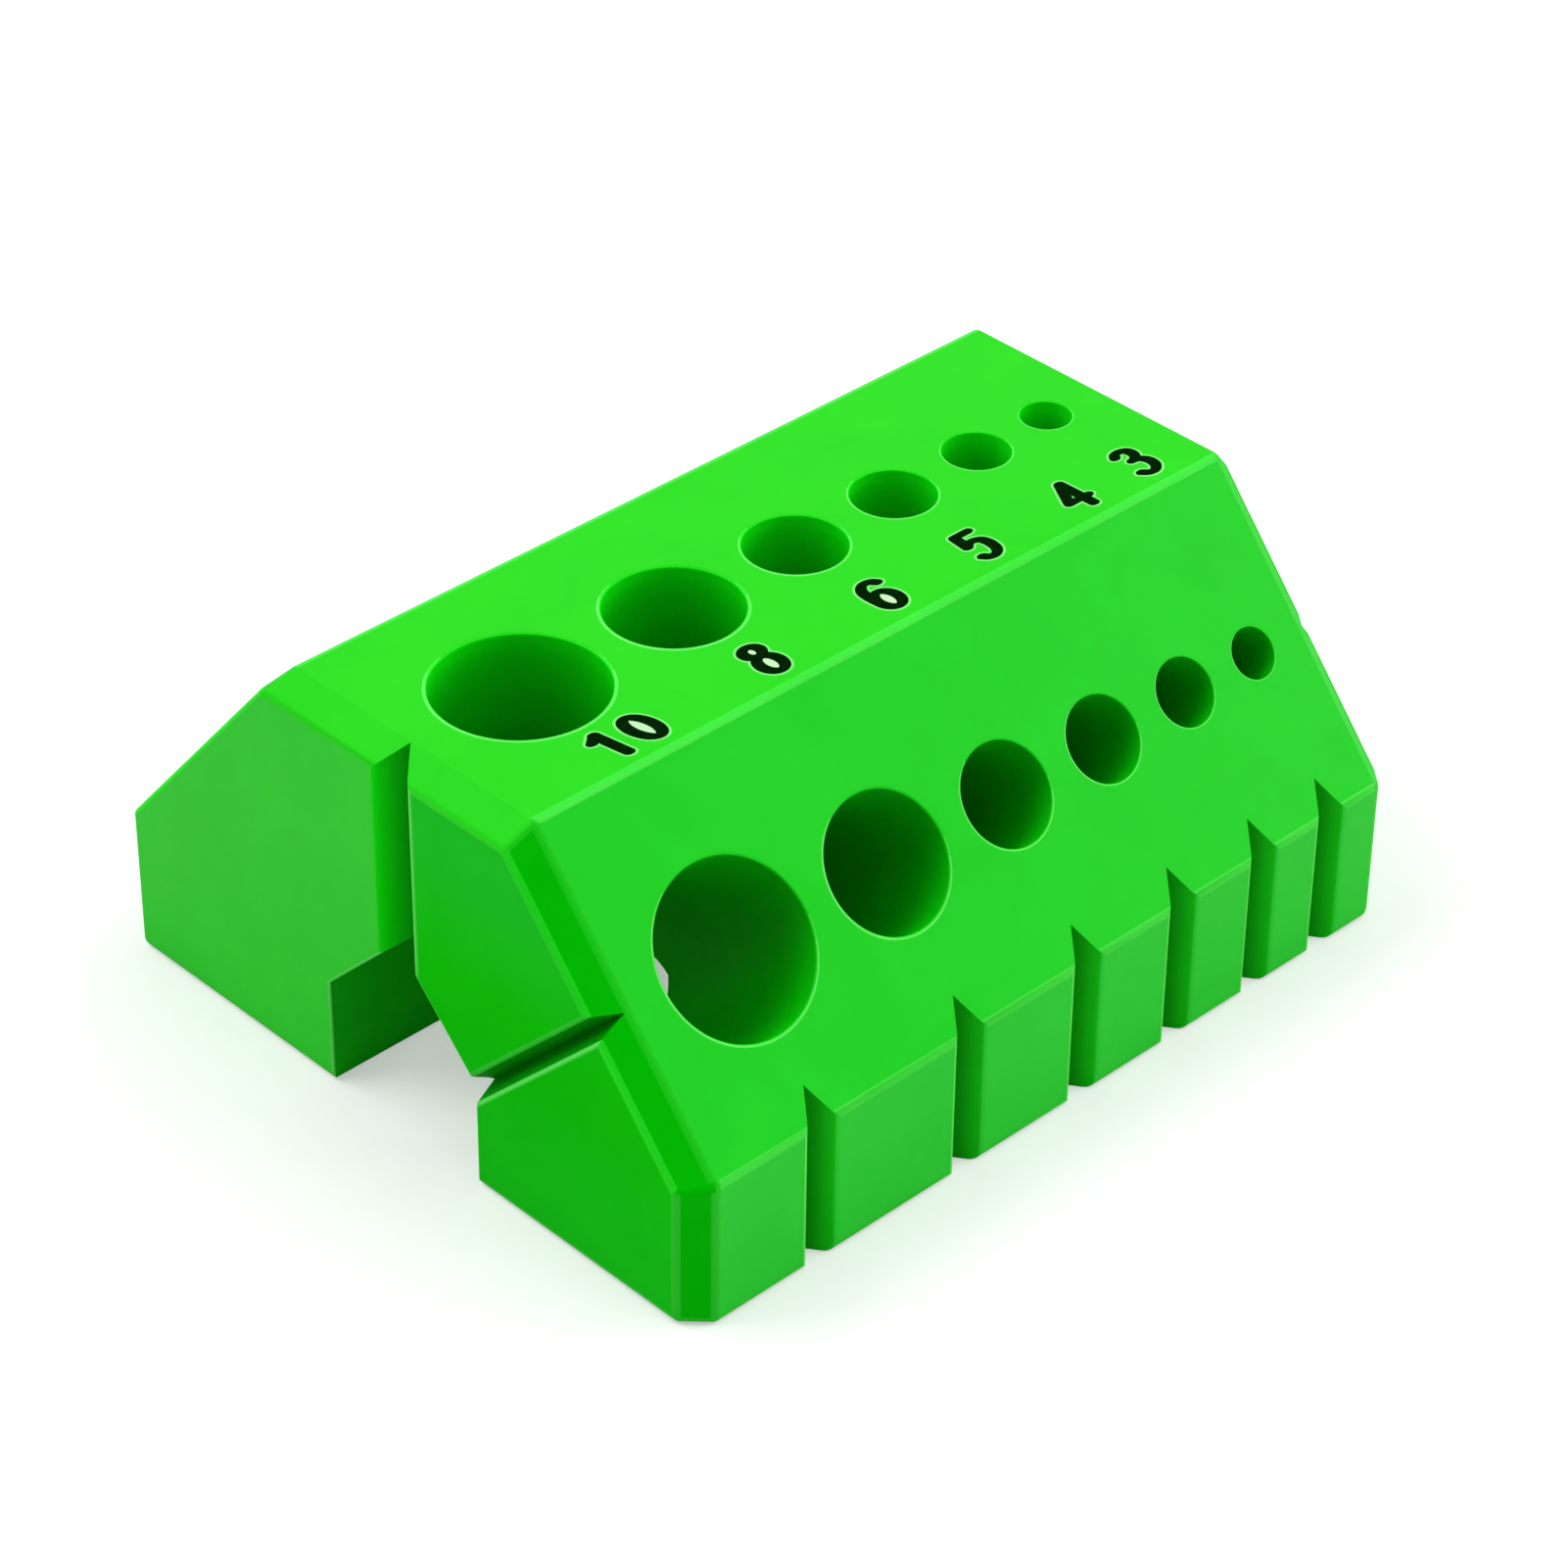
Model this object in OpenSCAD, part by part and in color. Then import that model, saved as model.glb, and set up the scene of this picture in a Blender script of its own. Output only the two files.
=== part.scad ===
// Drill guide block: one moulded body with a row of upright holes and a row of slanted holes.
// X runs along the rows from the largest hole to the smallest, the slanted holes open towards -Y,
// Z is up, and the origin is at the middle of the underside.

/* [Block] */
// Width across the upright sides
body_w = 47.4; // [44:0.1:60]
// Height from the underside to the top
body_h = 25.9; // [23:0.1:32]
// Width of the flat top
top_w = 19.6; // [16:0.1:24]
// Height of the upright sides below the slopes
side_h = 9.6; // [6:0.1:12]
// Plastic between an end face and the nearest hole of a row
end_margin = 4.25; // [3:0.05:8]
// Plastic between neighbouring holes of a row
hole_web = 2.3; // [1.5:0.1:5]

/* [Drill sizes] */
// Drill of the first hole of both rows
drill_a = 10; // [9:0.5:10]
// Drill of the second hole
drill_b = 8; // [7:0.5:9]
// Drill of the third hole
drill_c = 6; // [5.5:0.5:7]
// Drill of the fourth hole
drill_d = 5; // [4.5:0.5:5.5]
// Drill of the fifth hole
drill_e = 4; // [3.5:0.5:4.5]
// Drill of the last hole
drill_f = 3; // [2:0.5:3.5]
// Play across the diameter between a drill and its hole
drill_play = 0.1; // [0.02:0.02:0.2]

/* [Slanted holes] */
// Angle of the slanted holes above the underside
slant = 45; // [42:1:48]
// Height at which their axes reach the wall of the channel
slant_exit_h = 6.7; // [5.5:0.1:7.5]

/* [Channel under the block] */
// Width between the upright walls of the channel
channel_w = 12.4; // [11:0.1:16]
// Height of those walls up to the roof
channel_wall_h = 7; // [5.5:0.1:8]
// Angle of the two roof slopes above the underside
roof_slope = 45; // [40:1:48]

/* [End chamfers] */
// Chamfer of the end faces along the top
top_chamfer = 1.6; // [0.6:0.1:2]
// Chamfer of the end faces along the front slope and the front side
front_chamfer = 1.5; // [0.6:0.1:2]

/* [Alignment grooves] */
// Width of the groove on an end face that marks the upright row
end_groove_w = 2.8; // [1.5:0.1:3.5]
// Depth of that groove
end_groove_deep = 1.5; // [0.8:0.1:2]
// Width of the groove on an end face that marks the slanted row
slant_groove_w = 1.5; // [0.8:0.1:2]
// Depth of that groove
slant_groove_deep = 1.4; // [0.6:0.1:1.6]
// Width of the grooves on the front side, one for each slanted hole
side_groove_w = 2.1; // [1:0.1:2.5]
// Depth of those grooves
side_groove_deep = 1.5; // [0.8:0.1:2]

/* [Hidden] */
// Overrun of every cut past the face that it opens
cut_over = 1;
// Sides of a round hole
round_sides = 96;

drills = [drill_a, drill_b, drill_c, drill_d, drill_e, drill_f];
last_hole = len(drills) - 1;

// Length of the first holes and webs of a row, up to and with hole number i
function row_len(i) = i < 0 ? 0 : row_len(i - 1) + drills[i] + (i == 0 ? 0 : hole_web);
body_l = row_len(last_hole) + 2 * end_margin;
end_x = body_l / 2;

// Place along X of the axis of hole number i, the same in both rows
function hole_x(i) = row_len(i) - drills[i] / 2 + end_margin - end_x;
function bore_r(i) = (drills[i] + drill_play) / 2;

side_y = body_w / 2;
ridge_y = top_w / 2;
wall_y = channel_w / 2;
roof_h = channel_wall_h + wall_y * tan(roof_slope);

// Turn of the front slope away from the flat top, and its distance from the origin
slope_turn = atan2(body_h - side_h, side_y - ridge_y);
slope_reach = side_y * sin(slope_turn) + side_h * cos(slope_turn);

// Outline of the block across its length, with the channel open at the underside
module block_outline() {
    polygon([
        [-side_y, 0],
        [-side_y, side_h],
        [-ridge_y, body_h],
        [ridge_y, body_h],
        [side_y, side_h],
        [side_y, 0],
        [wall_y, 0],
        [wall_y, channel_wall_h],
        [0, roof_h],
        [-wall_y, channel_wall_h],
        [-wall_y, 0]
    ]);
}

module block_body() {
    rotate([90, 0, 90])
        translate([0, 0, -end_x])
            linear_extrude(body_l)
                block_outline();
}

// Chamfer of a given size along one face of the outline at the -X end. turn leans the face's normal
// from +Z towards -Y, and reach is the distance of the face from the origin.
module edge_chamfer(size, turn, reach) {
    long = body_w + body_h;
    out = size + cut_over;
    rotate([turn, 0, 0])
        translate([-end_x, long / 2, reach])
            rotate([90, 0, 0])
                linear_extrude(long)
                    polygon([
                        [-cut_over, -out],
                        [out, cut_over],
                        [-cut_over, cut_over]
                    ]);
}

// V cut with its mouth on the XZ plane, its root towards +Y and its length along Z from 0
module v_cut(width, deep, length) {
    mouth = width / 2 * (1 + cut_over / deep);
    linear_extrude(length)
        polygon([
            [-mouth, -cut_over],
            [mouth, -cut_over],
            [0, deep]
        ]);
}

// Chamfers and grooves of the end face at -X
module end_cuts() {
    edge_chamfer(top_chamfer, 0, body_h);
    edge_chamfer(front_chamfer, slope_turn, slope_reach);
    edge_chamfer(front_chamfer, 90, side_y);
    translate([-end_x, 0, 0])
        rotate([0, 0, -90])
            v_cut(end_groove_w, end_groove_deep, body_h + cut_over);
    translate([-end_x, -wall_y, slant_exit_h])
        rotate([90 - slant, 0, 0])
            translate([0, 0, -wall_y])
                rotate([0, 0, -90])
                    v_cut(slant_groove_w, slant_groove_deep, body_w);
}

// Groove on the front side below slanted hole number i, which runs out on the slope
module side_groove(i) {
    translate([hole_x(i), -side_y, -cut_over])
        v_cut(side_groove_w, side_groove_deep, body_h);
}

module upright_hole(i) {
    translate([hole_x(i), 0, -cut_over])
        cylinder(h = body_h + 2 * cut_over, r = bore_r(i), $fn = round_sides);
}

// The hole runs from inside the channel, past its wall and the underside, out of the slope
module slanted_hole(i) {
    inside = bore_r(i) * tan(slant) + cut_over;
    translate([hole_x(i), -wall_y, slant_exit_h])
        rotate([90 - slant, 0, 0])
            translate([0, 0, -inside])
                cylinder(h = inside + body_w, r = bore_r(i), $fn = round_sides);
}

module guide_block() {
    color([0.16, 0.85, 0.16])
        difference() {
            block_body();
            end_cuts();
            mirror([1, 0, 0]) end_cuts();
            for (i = [0 : last_hole]) {
                upright_hole(i);
                slanted_hole(i);
                side_groove(i);
            }
        }
}

guide_block();
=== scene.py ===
import math
from collections import namedtuple

import bmesh
import bpy
from mathutils import Matrix, Vector


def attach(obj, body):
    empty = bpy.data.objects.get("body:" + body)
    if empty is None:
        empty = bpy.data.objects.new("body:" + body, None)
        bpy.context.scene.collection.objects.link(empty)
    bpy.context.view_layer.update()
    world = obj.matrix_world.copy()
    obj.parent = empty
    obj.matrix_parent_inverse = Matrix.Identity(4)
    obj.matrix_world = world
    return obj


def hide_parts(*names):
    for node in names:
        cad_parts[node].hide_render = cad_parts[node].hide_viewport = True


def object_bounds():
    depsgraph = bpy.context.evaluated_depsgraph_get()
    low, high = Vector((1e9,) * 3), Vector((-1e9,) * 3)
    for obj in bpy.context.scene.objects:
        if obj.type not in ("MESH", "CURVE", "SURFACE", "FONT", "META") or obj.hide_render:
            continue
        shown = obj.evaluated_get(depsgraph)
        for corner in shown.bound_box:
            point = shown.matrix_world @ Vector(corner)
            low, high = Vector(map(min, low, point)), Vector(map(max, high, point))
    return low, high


# Looks of the drill guide block: green moulded plastic, printed hole numbers, floor, light and camera.
# Shapes are drawn in millimetres, in the frame of the solid, and scaled to metres when they are done.

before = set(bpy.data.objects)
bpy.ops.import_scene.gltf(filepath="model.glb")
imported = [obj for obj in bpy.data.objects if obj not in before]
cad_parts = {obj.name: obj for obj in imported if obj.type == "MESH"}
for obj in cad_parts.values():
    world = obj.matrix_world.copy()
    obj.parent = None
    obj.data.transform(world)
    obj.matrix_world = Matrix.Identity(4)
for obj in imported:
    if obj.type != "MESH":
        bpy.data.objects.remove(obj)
bpy.context.view_layer.update()
cad_low, cad_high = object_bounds()

MM = 0.001
UP = Vector((0, 0, 1))
SIDEWAYS = Vector((1, 0, 0))

# Half the block's length and width, and its height, from the solid that it stands for
END_X, SIDE_Y, TOP_H = (round(side / MM, 2) for side in cad_high)
# Edges of the flat top, and height of the upright sides
RIDGE_Y, SIDE_H = 9.8, 9.6
# Walls of the channel, and peak of its roof
WALL_Y, ROOF_H = 6.2, 13.2
END_CHAMFER = 1.55
# The edge between the top and the front slope, and the way that the slope faces
RIDGE = Vector((0, -RIDGE_Y, TOP_H))
SLOPE_OUT = Vector((0, SIDE_H - TOP_H, SIDE_Y - RIDGE_Y)).normalized()

# Drills of both rows, plastic at the ends and between two holes, and play of a drill on each side
DRILLS = (10, 8, 6, 5, 4, 3)
END_MARGIN, HOLE_WEB = 4.25, 2.3
PLAY = 0.05
# Angle of the slanted holes, height at which their axes reach the channel's wall, and their way up
SLANT, EXIT_H = math.radians(45.0), 6.7
SLANT_UP = Vector((0, -math.cos(SLANT), math.sin(SLANT)))

# V grooves, with the size of their rounded lips
Groove = namedtuple("Groove", "width deep lip")
END_GROOVE = Groove(2.8, 1.5, 0.36)
SLANT_GROOVE = Groove(1.5, 1.4, 0.20)
SIDE_GROOVE = Groove(2.1, 1.5, 0.36)
# Length of a slanted groove's cutter, from inside the channel to past the slope
SLANT_GROOVE_LENGTH = 45.0

# Roundings: corners, shallower edges, edges of the feet, both ends of the channel, and mouths of holes
CORNER, CREASE, FOOT, MOUTH, RIM = 0.38, 0.30, 0.55, 0.14, 0.15
# Radius from which a hole's mouth has its full rounding
FULL_RIM_RADIUS = 4.0
# Turn between two faces that makes their edge a corner, and turn below which an edge isn't rounded
CORNER_TURN, FLAT_TURN = math.radians(70), math.radians(8)
# The side of each mouth that gets no painted highlight, and the leans towards it at which the bright painted
# highlight ends and the fainter one ends
NO_HIGHLIGHT_SIDE = Vector((0.55, 0.60, 0.58))
BRIGHT_HIGHLIGHT_ENDS, HIGHLIGHT_ENDS = 0.2, 0.45
# Depth of the band of painted highlight under the face round a mouth, and its rise from the mouth outwards
BAND_SINK, BAND_RISE = 0.006, 0.002

# Sides of a round hole, steps of a rounded edge and of a groove's lip, and turns through a quarter circle
ROUND_SIDES = 96
EDGE_STEPS, LIP_STEPS = 4, 4
QUARTER = [math.radians(angle) for angle in (0, 30, 60, 90)]
# Reach of the cutters past the face that they open
OVERRUN = 1.0
# Distances that count as none, for comparing places and for joining points of the chamfers
NEAR, JOIN = 0.01, 0.02
# Cosine above which a face looks one way, and turn from which an edge is shaded sharp
STRAIGHT = 0.999
SHARP_TURN = math.radians(32)
# Where the painted highlights and shades of the rounded edges change: height of the foot's edges, reach of
# the end's edges past the chamfers, margin at the ridge and at the upper edge of the side, the corner there,
# and the outermost line
FOOT_ZONE, END_ZONE, MARGIN = 0.6, 0.7, 0.4
CORNER_WIDTH, CORNER_HEIGHT, LINE_ZONE = 1.6, 0.6, 0.5

# Most values of a noise lie in this range
NOISE_RANGE = (0.3, 0.7)

# Fading of a colour with distance, which runs from reach against axis. stops holds distances and the share of
# the colour that is left there, which is one number or one each for red, green and blue.
Fade = namedtuple("Fade", "axis reach stops both_ends", defaults=(False,))


class Nodes:
    """The nodes of a material or a world, with short calls for those that the looks need."""

    def __init__(self, owner):
        owner.use_nodes = True
        self.tree = owner.node_tree
        self.tree.nodes.clear()

    def add(self, kind, inputs=None, **settings):
        """A node. inputs gives a value, or another node's output, for each input."""
        node = self.tree.nodes.new(f"ShaderNode{kind}")
        for key, value in settings.items():
            setattr(node, key, value)
        for key, value in (inputs or {}).items():
            if isinstance(value, bpy.types.NodeSocket):
                self.tree.links.new(value, node.inputs[key])
            else:
                node.inputs[key].default_value = value
        return node

    def coords(self, kind="Object"):
        return self.add("TexCoord").outputs[kind]

    def noise(self, coords, scale, detail, rough, distortion=0.0):
        inputs = {"Vector": coords, "Scale": scale, "Detail": detail}
        inputs |= {"Roughness": rough, "Distortion": distortion}
        return self.add("TexNoise", inputs).outputs["Fac"]

    def remap(self, value, low, high, new_low=0.0, new_high=1.0):
        inputs = {"Value": value, "From Min": low, "From Max": high, "To Min": new_low, "To Max": new_high}
        return self.add("MapRange", inputs).outputs["Result"]

    def blend(self, share, first, second):
        """A colour between two others, the second where share is 1."""
        inputs = {"Factor": share, "A": (*first, 1.0), "B": (*second, 1.0)}
        return self.add("Mix", inputs, data_type="RGBA").outputs["Result"]

    def multiply(self, first, second):
        inputs = {"Factor": 1.0, "A": first, "B": second}
        return self.add("Mix", inputs, data_type="RGBA", blend_type="MULTIPLY").outputs["Result"]

    def bump(self, height, distance, strength, below=None):
        inputs = {"Height": height, "Distance": distance, "Strength": strength}
        if below is not None:
            inputs["Normal"] = below
        return self.add("Bump", inputs).outputs["Normal"]

    def along(self, coords, axis):
        """How far a place lies along an axis."""
        return self.add("VectorMath", {0: coords, 1: axis}, operation="DOT_PRODUCT").outputs["Value"]

    def camera_ray(self):
        return self.add("LightPath").outputs["Is Camera Ray"]

    def fade(self, coords, colour, by):
        """A colour that is darkened with distance, by a Fade."""
        place = self.along(coords, by.axis)
        if by.both_ends:
            place = self.add("Math", {0: place}, operation="ABSOLUTE").outputs["Value"]
        farthest = by.stops[-1][0]
        ramp = self.add("ValToRGB", {"Fac": self.remap(place, by.reach * MM, (by.reach - farthest) * MM)})
        marks = ramp.color_ramp.elements
        for _ in by.stops[2:]:
            marks.new(0.5)
        for mark, (distance, share) in zip(marks, by.stops):
            mark.position = distance / farthest
            mark.color = (*share, 1.0) if isinstance(share, tuple) else (share, share, share, 1.0)
        return self.multiply(colour, ramp.outputs["Color"])

    def surface(self, shader):
        self.add("OutputMaterial", {"Surface": shader})


def plastic(name, dark, pale, finish, ior=1.34, fade=None):
    """Moulded plastic: faint flow mottling in the colour, uneven gloss and a fine orange-peel skin."""
    rough_low, rough_high, skin_strength = finish
    material = bpy.data.materials.new(name)
    nodes = Nodes(material)
    coords = nodes.coords()
    mottle = nodes.noise(coords, scale=140.0, detail=3.0, rough=0.55, distortion=0.6)
    cloud = nodes.noise(coords, scale=900.0, detail=5.0, rough=0.6)
    peel = nodes.noise(coords, scale=2600.0, detail=3.0, rough=0.5)
    wave = nodes.noise(coords, scale=60.0, detail=2.0, rough=0.4)
    colour = nodes.blend(nodes.remap(mottle, *NOISE_RANGE), dark, pale)
    if fade:
        colour = nodes.fade(coords, colour, fade)
    waves = nodes.bump(wave, distance=0.12 * MM, strength=0.35)
    shader = nodes.add("BsdfPrincipled", {
        "IOR": ior,
        "Base Color": colour,
        "Roughness": nodes.remap(cloud, *NOISE_RANGE, rough_low, rough_high),
        "Normal": nodes.bump(peel, distance=0.01 * MM, strength=skin_strength, below=waves),
    })
    nodes.surface(shader.outputs["BSDF"])
    return material


def ink(name):
    """Dull ink, nearly black, with worn specks that let a little green through."""
    material = bpy.data.materials.new(name)
    nodes = Nodes(material)
    speck = nodes.noise(nodes.coords(), scale=3500.0, detail=6.0, rough=0.7)
    worn = nodes.remap(speck, 0.45, 0.75)
    shader = nodes.add("BsdfPrincipled", {
        "IOR": 1.04,
        "Base Color": nodes.blend(worn, (0.0008, 0.012, 0.0008), (0.002, 0.028, 0.002)),
        "Roughness": nodes.remap(speck, *NOISE_RANGE, 0.5, 0.7),
        "Normal": nodes.bump(speck, distance=0.02 * MM, strength=0.4),
    })
    nodes.surface(shader.outputs["BSDF"])
    return material


def paper(name):
    """Pale paper, lifted to plain white where the camera sees it, so that only the shadow shows."""
    material = bpy.data.materials.new(name)
    nodes = Nodes(material)
    fibre = nodes.noise(nodes.coords(), scale=400.0, detail=3.0, rough=0.6)
    sheet = nodes.add("BsdfDiffuse", {"Color": nodes.blend(fibre, (0.69, 0.69, 0.69), (0.71, 0.71, 0.71))})
    glow = nodes.add("Emission", {"Strength": nodes.remap(nodes.camera_ray(), 0.0, 1.0, 0.0, 0.42)})
    both = nodes.add("AddShader", {0: sheet.outputs["BSDF"], 1: glow.outputs["Emission"]})
    nodes.surface(both.outputs["Shader"])
    return material


# Finishes: lowest and highest roughness, and strength of the skin
POLISHED = (0.28, 0.38, 0.12)
WORN = (0.30, 0.40, 0.15)
LABEL = (0.35, 0.45, 0.15)
SATIN = (0.34, 0.46, 0.30)
SOFT_SATIN = (0.36, 0.48, 0.30)
SMOOTH_SATIN = (0.36, 0.48, 0.20)
MATT = (0.42, 0.54, 0.30)
MATT_WALL = (0.42, 0.54, 0.35)
DULL_WALL = (0.44, 0.56, 0.35)

# Painted shade: the walls of the upright holes and of the grooves are painted darker with depth below the
# mouth, and the slanted holes are painted lighter on their front wall
UPRIGHT_FADE = Fade(UP, TOP_H, (
    (0.0, 1.0), (0.6, 0.93), (1.0, 0.82), (1.5, 0.75), (2.0, 0.69),
    (3.0, 0.64), (4.0, 0.58), (5.0, 0.55), (7.0, 0.44)))
SLANTED_FADE = Fade(-Vector((0, math.cos(SLANT), math.sin(SLANT))), 4.7, (
    (0.0, 1.0), (3.0, 0.88), (5.0, 0.68), (7.0, 0.62), (10.0, 0.66)))
SIDE_GROOVE_FADE = Fade(Vector((0, -1, 0)), SIDE_Y, (
    (0.0, 1.0), (0.25, 0.95), (0.5, 0.86), (0.75, 0.72), (1.0, 0.64), (1.5, 0.62)))
END_GROOVE_FADE = Fade(SIDEWAYS, END_X, (
    (0.0, 1.0), (0.25, 0.90), (0.5, 0.78), (0.75, 0.66),
    (1.0, 0.57), (1.25, 0.50), (1.5, 0.49)), both_ends=True)
# Painted reflection: the end faces lose their pale sheen around their middle, so they are a purer green there
END_FADE = Fade(UP, TOP_H, (
    (0.0, (1.0, 1.0, 1.0)), (5.0, (1.0, 1.0, 1.0)), (9.0, (0.62, 0.99, 0.40)), (12.0, (0.32, 0.98, 0.08)),
    (16.0, (0.32, 0.96, 0.10)), (20.0, (0.50, 0.97, 0.40)), (TOP_H, (0.62, 0.97, 0.50))))

LOOKS = []


def look(name, *settings):
    """Adds a plastic to the block's looks and gives its number, by which a face names its look."""
    LOOKS.append(plastic(f"green_plastic_{name}", *settings))
    return len(LOOKS) - 1


# Most of the block, lips with a painted highlight, the inside of the channel in painted shade, and rounded
# edges with a painted highlight
BODY = look("body", (0.004, 0.73, 0.003), (0.007, 0.78, 0.005), SATIN)
LIP_HIGHLIGHT = look("lip", (0.085, 0.90, 0.078), (0.125, 0.96, 0.115), POLISHED)
DEEP_SHADE = look("deep", (0.002, 0.54, 0.002), (0.004, 0.60, 0.003), MATT_WALL, 1.18)
EDGE_HIGHLIGHT = look("edge", (0.032, 0.84, 0.030), (0.048, 0.90, 0.044), WORN)
# Walls of the slanted grooves on the ends, in painted shade, and the end chamfers along the front, in painted
# shade, and along the top, in painted light
SLANT_TRENCH = look("groove", (0.001, 0.34, 0.001), (0.002, 0.40, 0.002), DULL_WALL, 1.12)
CHAMFER = look("chamfer", (0.001, 0.68, 0.001), (0.002, 0.73, 0.002), MATT, 1.05)
TOP_CHAMFER = look("crown", (0.015, 0.83, 0.005), (0.021, 0.88, 0.008), SOFT_SATIN, 1.22)
# The front slope, a copy of the body with its own tint and gloss for how light falls on it, and the painted
# highlight line at its corners
SLOPE = look("slope", (0.004, 0.73, 0.007), (0.007, 0.78, 0.011), SOFT_SATIN, 1.24)
CORNER_HIGHLIGHT = look("crease_highlight", (0.010, 0.90, 0.008), (0.016, 0.95, 0.013), SMOOTH_SATIN, 1.20)
# Walls of the upright holes, the slanted holes and the grooves on the front side, with the painted shade of
# their fades
UPRIGHT = look("upright", (0.003, 0.94, 0.003), (0.006, 0.99, 0.005), MATT_WALL, 1.18, UPRIGHT_FADE)
SLANTED = look("slanted", (0.003, 0.74, 0.003), (0.005, 0.80, 0.004), MATT_WALL, 1.18, SLANTED_FADE)
GULLY = look("gully", (0.002, 0.68, 0.002), (0.004, 0.74, 0.003), MATT_WALL, 1.18, SIDE_GROOVE_FADE)
# The top, the front side, and the front half of the end faces: lit and shaded copies of the body, each
# painted for how light falls on it
TOP = look("top", (0.012, 0.715, 0.002), (0.017, 0.765, 0.004), SATIN, 1.27)
FRONT = look("front", (0.006, 0.74, 0.016), (0.011, 0.79, 0.022), SATIN)
END = look("end", (0.015, 0.70, 0.022), (0.019, 0.75, 0.026), MATT, 1.05, END_FADE)
# Walls of the upright grooves on the ends, with the painted shade of their fade, and the back half of the end
# faces, painted lighter than the front half
TRENCH = look("trench", (0.002, 0.90, 0.002), (0.004, 0.96, 0.003), MATT_WALL, 1.09, END_GROOVE_FADE)
HEEL = look("heel", (0.006, 0.785, 0.003), (0.009, 0.835, 0.005), SATIN, 1.33)

# The faces that holes open on: the way they face, their look, the width of the band of painted highlight
# round a mouth, and how much that width changes round the mouth
Face = namedtuple("Face", "out look band spread")
ON_TOP = Face(UP, TOP, 0.10, 0.9)
ON_SLOPE = Face(SLOPE_OUT, SLOPE, 0.05, 0.3)


def add_object(name, data):
    made = bpy.data.objects.new(name, data)
    bpy.context.scene.collection.objects.link(made)
    return made


def mesh_from(name, bm):
    """The mesh that a bmesh describes, which is used up."""
    mesh = bpy.data.meshes.new(name)
    bm.to_mesh(mesh)
    bm.free()
    return mesh


def loft(name, rings, look_at):
    """A closed body through rings of equal point count. look_at gives the look of a side at a step."""
    bm = bmesh.new()
    made = [[bm.verts.new(point) for point in points] for points in rings]
    count = len(made[0])
    for step, (low, high) in enumerate(zip(made, made[1:])):
        for i in range(count):
            j = (i + 1) % count
            face = bm.faces.new((low[i], low[j], high[j], high[i]))
            face.material_index = look_at(step, i)
    bm.faces.new(made[0])
    bm.faces.new(made[-1])
    bmesh.ops.recalc_face_normals(bm, faces=bm.faces)
    return mesh_from(name, bm)


def prism(name, outline, length, matrix, looks):
    """A closed prism. Its outline lies in the local XY plane, and it runs along local Z from 0.

    looks holds one look for each side of the outline.
    """
    ends = [[matrix @ Vector((x, y, z)) for x, y in outline] for z in (0.0, length)]
    return loft(name, ends, lambda step, side: looks[side])


def axes(origin, y_axis, z_axis):
    """The matrix that puts local Y and Z along two unit vectors at an origin."""
    y_axis, z_axis = Vector(y_axis), Vector(z_axis)
    turn = Matrix((y_axis.cross(z_axis), y_axis, z_axis)).transposed().to_4x4()
    return Matrix.Translation(origin) @ turn


def soft_corner(before, corner, after, lip):
    """Points of a small curve that rounds a corner of an outline."""
    before, corner, after = Vector(before), Vector(corner), Vector(after)
    first = corner + (before - corner).normalized() * lip
    last = corner + (after - corner).normalized() * lip
    shares = [step / LIP_STEPS for step in range(LIP_STEPS + 1)]
    return [tuple((1 - t) ** 2 * first + 2 * t * (1 - t) * corner + t * t * last) for t in shares]


def cut_corner(bm, point, normal):
    """Cuts away what lies beyond a plane and closes the body again."""
    everything = list(bm.verts) + list(bm.edges) + list(bm.faces)
    bmesh.ops.bisect_plane(bm, geom=everything, plane_co=point, plane_no=normal, clear_outer=True)
    open_edges = [edge for edge in bm.edges if edge.is_boundary]
    bmesh.ops.contextual_create(bm, geom=open_edges)
    bmesh.ops.recalc_face_normals(bm, faces=bm.faces)


def rounding_of(edge):
    """Size of an edge's rounding. The edges between the top and its end chamfers stay crisp."""
    turn = edge.calc_face_angle()
    low, high = sorted(vert.co.z for vert in edge.verts)
    across = abs(edge.verts[0].co.x - edge.verts[1].co.x) < NEAR
    if turn < FLAT_TURN or (across and low > TOP_H - NEAR):
        return 0.0
    if high < NEAR:
        return FOOT
    return CORNER if turn > CORNER_TURN else CREASE


def outer_shape():
    """The outside of the block with its end chamfers, before any hole, groove or channel."""
    half = [(SIDE_Y, 0), (SIDE_Y, SIDE_H), (RIDGE_Y, TOP_H)]
    outline = [(-y, z) for y, z in half] + half[::-1]
    whole = prism("stock", outline, 2 * END_X, axes((-END_X, 0, 0), UP, SIDEWAYS), [BODY] * len(outline))
    bm = bmesh.new()
    bm.from_mesh(whole)
    chamfered = ((RIDGE, UP), (RIDGE, SLOPE_OUT), (Vector((0, -SIDE_Y, 0)), Vector((0, -1, 0))))
    for end in (-1, 1):
        for on_face, out in chamfered:
            cut_corner(bm, on_face + end * (END_X - END_CHAMFER) * SIDEWAYS, out + end * SIDEWAYS)
    bmesh.ops.remove_doubles(bm, verts=bm.verts, dist=JOIN)
    # The end chamfers get painted shade along the front and painted light along the top
    for face in bm.faces:
        if NEAR < abs(face.normal.x) < STRAIGHT:
            face.material_index = CHAMFER if face.normal.y < -NEAR else TOP_CHAMFER
    weight = bm.edges.layers.float.new("bevel_weight_edge")
    for edge in bm.edges:
        edge[weight] = rounding_of(edge) / FOOT
    mesh = mesh_from("stock", bm)
    for material in LOOKS:
        mesh.materials.append(material)
    return mesh


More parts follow.
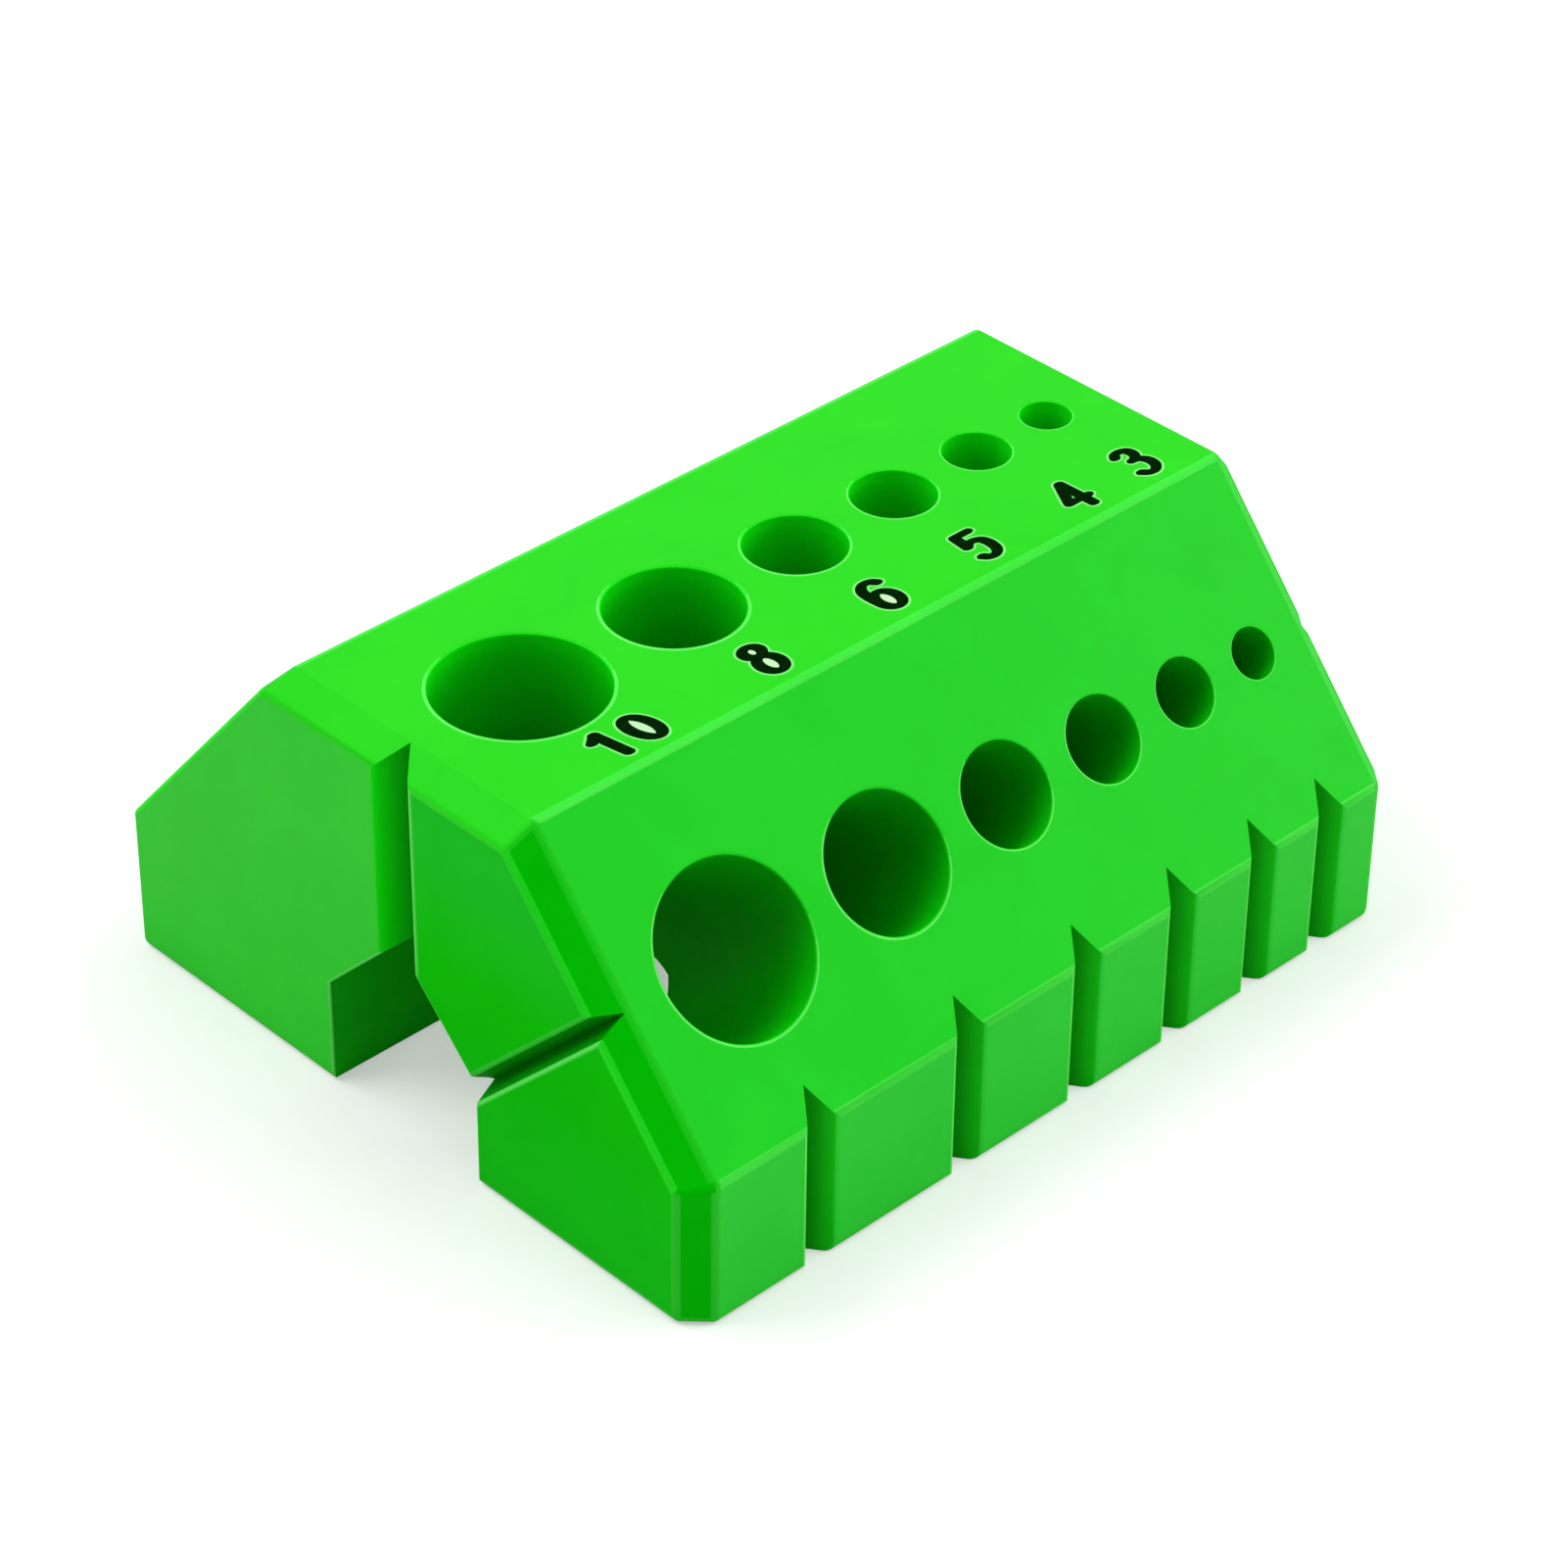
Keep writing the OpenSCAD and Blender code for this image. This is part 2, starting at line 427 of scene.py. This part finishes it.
def groove_cutter(groove, length, matrix, highlight_side, wall, other_lip):
    """A V groove with rounded lips.

    highlight_side tells which lip carries a painted highlight, -1 for the left one and 1 for the right.
    other_lip lists the looks of the other lip from outside in.
    """
    half = groove.width / 2
    left = soft_corner((-groove.width, 0), (-half, 0), (0, groove.deep), groove.lip)
    right = soft_corner((0, groove.deep), (half, 0), (groove.width, 0), groove.lip)
    outline = [(left[0][0], -OVERRUN), *left, (0.0, groove.deep), *right, (right[-1][0], -OVERRUN)]
    # The lip with a painted highlight on all but its outermost step
    highlight_lip = (BODY, LIP_HIGHLIGHT, LIP_HIGHLIGHT, LIP_HIGHLIGHT)
    first, last = (highlight_lip, other_lip) if highlight_side < 0 else (other_lip, highlight_lip)
    looks = (wall, *first, wall, wall, *reversed(last), wall, wall)
    return prism("groove", outline, length, matrix, looks)


def hole_cutter(radius, start, axis, wall, face):
    """A round hole along an axis. Its mouth on a face is rounded, and carries a painted highlight that fades
    out towards one side.
    """
    across = axis.cross(SIDEWAYS)
    share = min(1.0, radius / FULL_RIM_RADIUS)
    rim = RIM * share
    spokes, looks = [], []
    for i in range(ROUND_SIDES):
        angle = 2 * math.pi * i / ROUND_SIDES
        out = math.cos(angle) * SIDEWAYS + math.sin(angle) * across
        base = start + radius * out
        on_face = base + axis * (RIDGE - base).dot(face.out) / axis.dot(face.out)
        flat = (out - out.dot(face.out) * face.out).normalized()
        bend = []
        for turn in QUARTER:
            depth = rim * (1 - math.sin(turn)) + BAND_SINK
            bend.append(on_face + flat * rim * (1 - math.cos(turn)) - face.out * depth)
        # Painted highlight round the mouth: bright, then fainter further round, and none on the side that it
        # leans towards most
        lean = flat.dot(NO_HIGHLIGHT_SIDE)
        brim = bend[-1] + flat * face.band * share * (1 - face.spread * lean)
        spokes.append([base, *bend, brim + face.out * BAND_RISE, brim + face.out * OVERRUN])
        looks.append(LIP_HIGHLIGHT if lean < BRIGHT_HIGHLIGHT_ENDS else EDGE_HIGHLIGHT if lean < HIGHLIGHT_ENDS else face.look)
    # The outer part of the rounding and the band round it carry the painted highlight
    highlight_steps = (len(QUARTER) - 1, len(QUARTER))
    return loft("hole", zip(*spokes), lambda step, side: looks[side] if step in highlight_steps else wall)


def channel_ring(x, grow):
    """The channel's outline at one place along the block, widened by grow, with soft corners below."""
    wall, roof = WALL_Y + grow, ROOF_H + grow * math.sqrt(2)
    knee = roof - wall
    left = soft_corner((-2 * wall, 0), (-wall, 0), (-wall, knee), CREASE)
    right = soft_corner((wall, knee), (wall, 0), (2 * wall, 0), CREASE)
    top = [(-wall, knee), (0.0, roof), (wall, knee)]
    outline = [(left[0][0], -OVERRUN), *left, *top, *right, (right[-1][0], -OVERRUN)]
    return [Vector((x, y, z)) for y, z in outline]


def channel_cutter():
    """The channel in painted shade, with a rounded mouth at both ends that carries a painted highlight."""
    near_end = [(-END_X - OVERRUN, MOUTH)]
    for turn in reversed(QUARTER):
        near_end.append((-END_X + MOUTH * (1 - math.sin(turn)), MOUTH * (1 - math.cos(turn))))
    places = near_end + [(-x, grow) for x, grow in reversed(near_end)]
    plain_steps = (0, len(QUARTER), 2 * len(QUARTER))
    rings = [channel_ring(x, grow) for x, grow in places]
    return loft("channel", rings, lambda step, side: DEEP_SHADE if step in plain_steps else LIP_HIGHLIGHT)


def end_cutters(end):
    """The grooves of the end face at -X or +X, end being -1 or 1."""
    inwards = -end * SIDEWAYS
    upright = axes((end * END_X, 0, 0), inwards, UP)
    slanted = axes(Vector((end * END_X, -WALL_Y, EXIT_H)) - WALL_Y * SLANT_UP, inwards, SLANT_UP)
    return [
        groove_cutter(END_GROOVE, TOP_H + OVERRUN, upright, -end, TRENCH, (HEEL, TRENCH, TRENCH, TRENCH)),
        groove_cutter(SLANT_GROOVE, SLANT_GROOVE_LENGTH, slanted, -end, SLANT_TRENCH, (BODY,) * LIP_STEPS),
    ]


def hole_cutters(drill, x):
    """The upright hole, the slanted hole and the side groove at one place along the block."""
    radius = drill / 2 + PLAY
    in_channel = Vector((x, -WALL_Y, EXIT_H)) - (radius + OVERRUN) * SLANT_UP
    on_side = axes((x, -SIDE_Y, -OVERRUN), (0, 1, 0), UP)
    return [
        hole_cutter(radius, Vector((x, 0, -OVERRUN)), UP, UPRIGHT, ON_TOP),
        hole_cutter(radius, in_channel, SLANT_UP, SLANTED, ON_SLOPE),
        groove_cutter(SIDE_GROOVE, TOP_H, on_side, -1, GULLY, (FRONT, FRONT, GULLY, GULLY)),
    ]


def all_cutters():
    """What is cut out of the outer shape, with the holes from the largest, at -X, to the smallest."""
    cutters = [channel_cutter()]
    for end in (-1, 1):
        cutters += end_cutters(end)
    edge = -END_X + END_MARGIN
    for drill in DRILLS:
        cutters += hole_cutters(drill, edge + drill / 2)
        edge += drill + HOLE_WEB
    return cutters


def cut_block(name):
    """The outer shape with its edges rounded and every cutter taken away, as one mesh."""
    stock = add_object("stock", outer_shape())
    rounding = stock.modifiers.new("rounding", "BEVEL")
    rounding.width = FOOT
    rounding.segments = EDGE_STEPS
    rounding.limit_method = "WEIGHT"
    # The rounded edges get the painted highlight look
    rounding.material = EDGE_HIGHLIGHT
    tools = [add_object("tool", mesh) for mesh in all_cutters()]
    for tool in tools:
        cut = stock.modifiers.new("cut", "BOOLEAN")
        cut.object = tool
        cut.operation = "DIFFERENCE"
        cut.solver = "MANIFOLD"
        cut.material_mode = "INDEX"
    bpy.context.view_layer.update()
    mesh = bpy.data.meshes.new_from_object(stock.evaluated_get(bpy.context.evaluated_depsgraph_get()))
    mesh.name = name
    for extra in (*tools, stock):
        bpy.data.objects.remove(extra)
    return mesh


def flat_look(face):
    """Look of a flat outer face, by the way that it faces: lit and shaded copies of the body, painted for how
    light falls on each side.
    """
    if face.normal.dot(SLOPE_OUT) > STRAIGHT:
        return SLOPE
    if face.normal.z > STRAIGHT:
        return TOP
    if face.normal.y < -STRAIGHT and face.center.y < -SIDE_Y + NEAR:
        return FRONT
    if abs(face.normal.x) > STRAIGHT:
        return END if face.center.y < 0 else HEEL
    return BODY


def edge_look(face):
    """Look of a rounded edge, by its place: a painted highlight on most edges, and the painted light or shade
    of the faces beside it near the ends and the foot. Most edges of the end faces show no painted highlight
    line.
    """
    x, y, z = (abs(part) for part in face.center)
    chamfer_x = END_X - END_CHAMFER
    if z < FOOT_ZONE:
        return BODY
    if x <= chamfer_x - END_ZONE:
        return EDGE_HIGHLIGHT
    if y < RIDGE_Y - MARGIN:
        return TOP_CHAMFER
    if x > chamfer_x and y > SIDE_Y - CORNER_WIDTH and abs(z - SIDE_H) < CORNER_HEIGHT:
        return CHAMFER
    on_line = x >= END_X - LINE_ZONE and z > SIDE_H - MARGIN
    return CORNER_HIGHLIGHT if on_line else BODY


def make_block():
    """The finished block, which stands for the solid."""
    mesh = cut_block("guide_block_body")
    # Flat faces get lit and shaded copies of the body by the way they face, and rounded edges get painted
    # highlights or shades by their place
    for face in mesh.polygons:
        if face.material_index == BODY:
            face.material_index = flat_look(face)
        elif face.material_index == EDGE_HIGHLIGHT:
            face.material_index = edge_look(face)
    mesh.transform(Matrix.Scale(MM, 4))
    mesh.shade_smooth()
    mesh.set_sharp_from_angle(angle=SHARP_TURN)
    body = add_object("guide_block_body", mesh)
    shading = body.modifiers.new("shading", "WEIGHTED_NORMAL")
    shading.keep_sharp = True
    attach(body, "root")
    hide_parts("guide_block")


make_block()

# Printed numbers. Digits are drawn around their middle with a nib that is wider across than along.
DIGIT_STEP = 2.45
NIB = (0.76, 0.54)
# Width of the pale outline, thickness of the films, and rise of each stroke over the one before
OUTLINE, FILM, LAYER = 0.15, 0.02, 0.0008
# Height of the outline, the inside of closed loops and the ink over the top of the block
OUTLINE_RISE, INSIDE_RISE, INK_RISE = 0.006, 0.010, 0.014
# Sides of a closed loop and of a stroke's round end, and steps of a curve between two points
LOOP_SIDES, END_SIDES, CURVE_STEPS = 40, 28, 8
# Place along and across the block, lean in degrees and height of each number
NUMBERS = {
    10: (-17.82, -7.38, 9.5, 0.90),
    8: (-7.40, -7.12, 2.0, 1.03),
    6: (1.73, -7.00, 2.0, 1.03),
    5: (9.30, -7.05, 2.0, 1.0),
    4: (16.90, -7.10, 2.0, 1.0),
    3: (22.35, -7.10, 2.0, 1.0),
}


def ring(cx, cy, rx, ry, sides=LOOP_SIDES):
    """A closed line round an ellipse."""
    turns = [2 * math.pi * i / sides for i in range(sides + 1)]
    return [(cx + rx * math.cos(turn), cy + ry * math.sin(turn)) for turn in turns]


def curve_through(*points):
    """A smooth line through points that are given in order."""
    ends = [points[0], *points, points[-1]]
    line = []
    for p0, p1, p2, p3 in zip(ends, ends[1:], ends[2:], ends[3:]):
        for t in (step / CURVE_STEPS for step in range(CURVE_STEPS)):
            point = []
            for a, b, c, d in zip(p0, p1, p2, p3):
                bend, twist = 2 * a - 5 * b + 4 * c - d, 3 * b - a - 3 * c + d
                point.append(0.5 * (2 * b + (c - a) * t + bend * t * t + twist * t ** 3))
            line.append(tuple(point))
    return line + [points[-1]]


DIGITS = {
    "0": [ring(0, 0, 0.67, 1.34)],
    "1": [[(0.20, -1.34), (0.20, 1.30)], [(0.20, 1.26), (-0.44, 0.74)]],
    "3": [
        curve_through((-0.60, 1.05), (-0.35, 1.32), (0.08, 1.37), (0.48, 1.14), (0.50, 0.62),
                      (0.20, 0.26), (-0.10, 0.20)),
        curve_through((-0.10, 0.20), (0.36, 0.10), (0.66, -0.34), (0.60, -0.92), (0.18, -1.34),
                      (-0.28, -1.34), (-0.66, -1.02)),
    ],
    "4": [[(0.42, -1.37), (0.42, 1.30)], [(0.42, 1.30), (-0.68, -0.48)], [(-0.70, -0.55), (0.82, -0.55)]],
    "5": [
        [(-0.44, 1.37), (0.62, 1.37)],
        [(-0.44, 1.37), (-0.60, 0.16)],
        curve_through((-0.60, 0.16), (-0.26, 0.42), (0.16, 0.44), (0.55, 0.20), (0.66, -0.36),
                      (0.50, -1.00), (0.06, -1.37), (-0.38, -1.33), (-0.68, -1.04)),
    ],
    "6": [
        ring(0, -0.52, 0.66, 0.85),
        curve_through((-0.66, -0.52), (-0.68, 0.25), (-0.54, 0.93), (-0.10, 1.35), (0.44, 1.34),
                      (0.76, 1.04)),
    ],
    "8": [ring(0, 0.86, 0.56, 0.51), ring(0, -0.54, 0.66, 0.83)],
}


def is_closed(line):
    """Whether a line ends where it starts."""
    return math.dist(line[0], line[-1]) < NEAR


def has_loop(drill):
    """Whether a number has a digit with a closed loop."""
    return any(is_closed(line) for digit in str(drill) for line in DIGITS[digit])


def fill(bm, line, z):
    """A flat face inside a closed line."""
    bm.faces.new([bm.verts.new((x, y, z)) for x, y in line[:-1]])


def stroke(bm, line, nib, z):
    """A flat band along a line, with round ends."""
    half_x, half_y = nib[0] / 2, nib[1] / 2
    closed = is_closed(line)
    before = [line[-2] if closed else line[0], *line[:-1]]
    after = [*line[1:], line[1] if closed else line[-1]]
    sides = []
    for (x0, y0), (x, y), (x1, y1) in zip(before, line, after):
        size = math.hypot(x1 - x0, y1 - y0)
        nx, ny = (y0 - y1) / size * half_x, (x1 - x0) / size * half_y
        sides.append([bm.verts.new((x + way * nx, y + way * ny, z)) for way in (1, -1)])
    for (a, b), (c, d) in zip(sides, sides[1:]):
        bm.faces.new((a, b, d, c))
    if not closed:
        for x, y in (line[0], line[-1]):
            fill(bm, ring(x, y, half_x, half_y, END_SIDES), z + LAYER / 2)


def number(name, drill, material, rise, grow=None):
    """A printed number: a thin film on the top face, with strokes that are widened by grow on each side.

    Without grow, the film fills the number's closed loops instead.
    """
    x, y, lean, high = NUMBERS[drill]
    nib = [width + 2 * (grow or 0) for width in NIB]
    digits = str(drill)
    bm = bmesh.new()
    for k, digit in enumerate(digits):
        fresh = len(bm.verts)
        for layer, drawn in enumerate(DIGITS[digit]):
            line = [(px, py * high) for px, py in drawn]
            if grow is not None:
                stroke(bm, line, nib, LAYER * layer)
            elif is_closed(line):
                fill(bm, line, LAYER * layer)
        from_middle = k - (len(digits) - 1) / 2
        shear = Matrix.Translation((from_middle * DIGIT_STEP, 0, 0))
        shear[0][1] = -math.tan(math.radians(lean))
        bm.verts.ensure_lookup_table()
        bmesh.ops.transform(bm, matrix=shear, verts=bm.verts[fresh:])
    for face in bm.faces:
        face.normal_update()
        if face.normal.z < 0:
            face.normal_flip()
    place = Matrix.Scale(MM, 4) @ Matrix.Translation((x, y, TOP_H + rise))
    bmesh.ops.transform(bm, matrix=place, verts=bm.verts)
    mesh = mesh_from(name, bm)
    mesh.materials.append(material)
    made = add_object(name, mesh)
    film = made.modifiers.new("film", "SOLIDIFY")
    film.thickness = FILM * MM
    film.offset = -1.0
    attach(made, "root")


number_ink = ink("number_ink")
outline_plastic = plastic("number_rim", (0.17, 0.90, 0.15), (0.23, 0.95, 0.20), LABEL)
inside_plastic = plastic("number_inside", (0.52, 0.90, 0.47), (0.62, 0.94, 0.56), LABEL)
for drill in NUMBERS:
    number(f"number_{drill}_rim", drill, outline_plastic, OUTLINE_RISE, OUTLINE)
    number(f"number_{drill}", drill, number_ink, INK_RISE, 0.0)
    if has_loop(drill):
        number(f"number_{drill}_inside", drill, inside_plastic, INSIDE_RISE)


def make_floor(reach=3.0, gap=0.02 * MM):
    """A large pale sheet just under the block, which keeps its shadow."""
    mesh = bpy.data.meshes.new("floor")
    corners = [(-reach, -reach, 0), (reach, -reach, 0), (reach, reach, 0), (-reach, reach, 0)]
    mesh.from_pydata(corners, [], [(0, 1, 2, 3)])
    mesh.materials.append(paper("paper"))
    floor = add_object("floor", mesh)
    floor.location.z = -gap


def make_room(brightest=(0.65, 0.65, 0.39)):
    """Plain white where the camera sees it, dimmer as a lamp, and brightest at the back right."""
    world = bpy.data.worlds.new("room")
    bpy.context.scene.world = world
    nodes = Nodes(world)
    toward = nodes.along(nodes.coords("Generated"), brightest)
    lamp = nodes.remap(toward, -1.0, 1.0, 0.12, 0.60)
    strength = nodes.add("Mix", {"Factor": nodes.camera_ray(), "A": lamp, "B": 1.0}).outputs["Result"]
    air = nodes.add("Background", {"Color": (1.0, 1.0, 1.0, 1.0), "Strength": strength})
    nodes.add("OutputWorld", {"Surface": air.outputs["Background"]})


def softbox(name, place, width, watts, aim=(0, 0, 0.01)):
    """A square lamp that faces a point."""
    data = bpy.data.lights.new(name, "AREA")
    data.shape = "SQUARE"
    data.size = width
    data.energy = watts
    lamp = add_object(name, data)
    lamp.location = place
    lamp.rotation_mode = "QUATERNION"
    lamp.rotation_quaternion = (Vector(aim) - Vector(place)).to_track_quat("-Z", "Y")


make_floor()
make_room()
# Lamps: place and width in metres, and power in watts
softbox("back", (-0.34, 0.44, 0.75), 0.60, 4.0)
softbox("above", (0.23, -0.32, 0.83), 0.60, 2.45)
softbox("side", (0.76, -0.47, 0.26), 0.50, 2.5)

# Camera, from the fit of the block's edges and hole rims to the photograph, in millimetres and pixels
AZIMUTH, ELEVATION, ROLL = math.radians(-44.307), math.radians(35.549), math.radians(0.717)
DISTANCE, TARGET = 290.24, Vector((1.216, 0.0, 9.627))
FOCAL_PX, IMAGE_SIDE_PX = 5104.66, 1601
SENSOR = 36.0


def make_camera():
    """The photo's camera, which looks at the target from a distance."""
    level = math.cos(ELEVATION)
    back = Vector((math.sin(AZIMUTH) * level, -math.cos(AZIMUTH) * level, math.sin(ELEVATION)))
    right = Vector((math.cos(AZIMUTH), math.sin(AZIMUTH), 0.0))
    turn = Matrix((right, back.cross(right), back)).transposed().to_4x4() @ Matrix.Rotation(ROLL, 4, "Z")
    data = bpy.data.cameras.new("camera")
    data.sensor_width = SENSOR
    data.lens = FOCAL_PX / IMAGE_SIDE_PX * SENSOR
    data.clip_start = 0.01
    data.clip_end = 20.0
    camera = add_object("camera", data)
    camera.matrix_world = Matrix.Translation((TARGET + back * DISTANCE) * MM) @ turn
    bpy.context.scene.camera = camera


make_camera()
bpy.context.scene.view_settings.view_transform = "Standard"

bpy.context.view_layer.update()
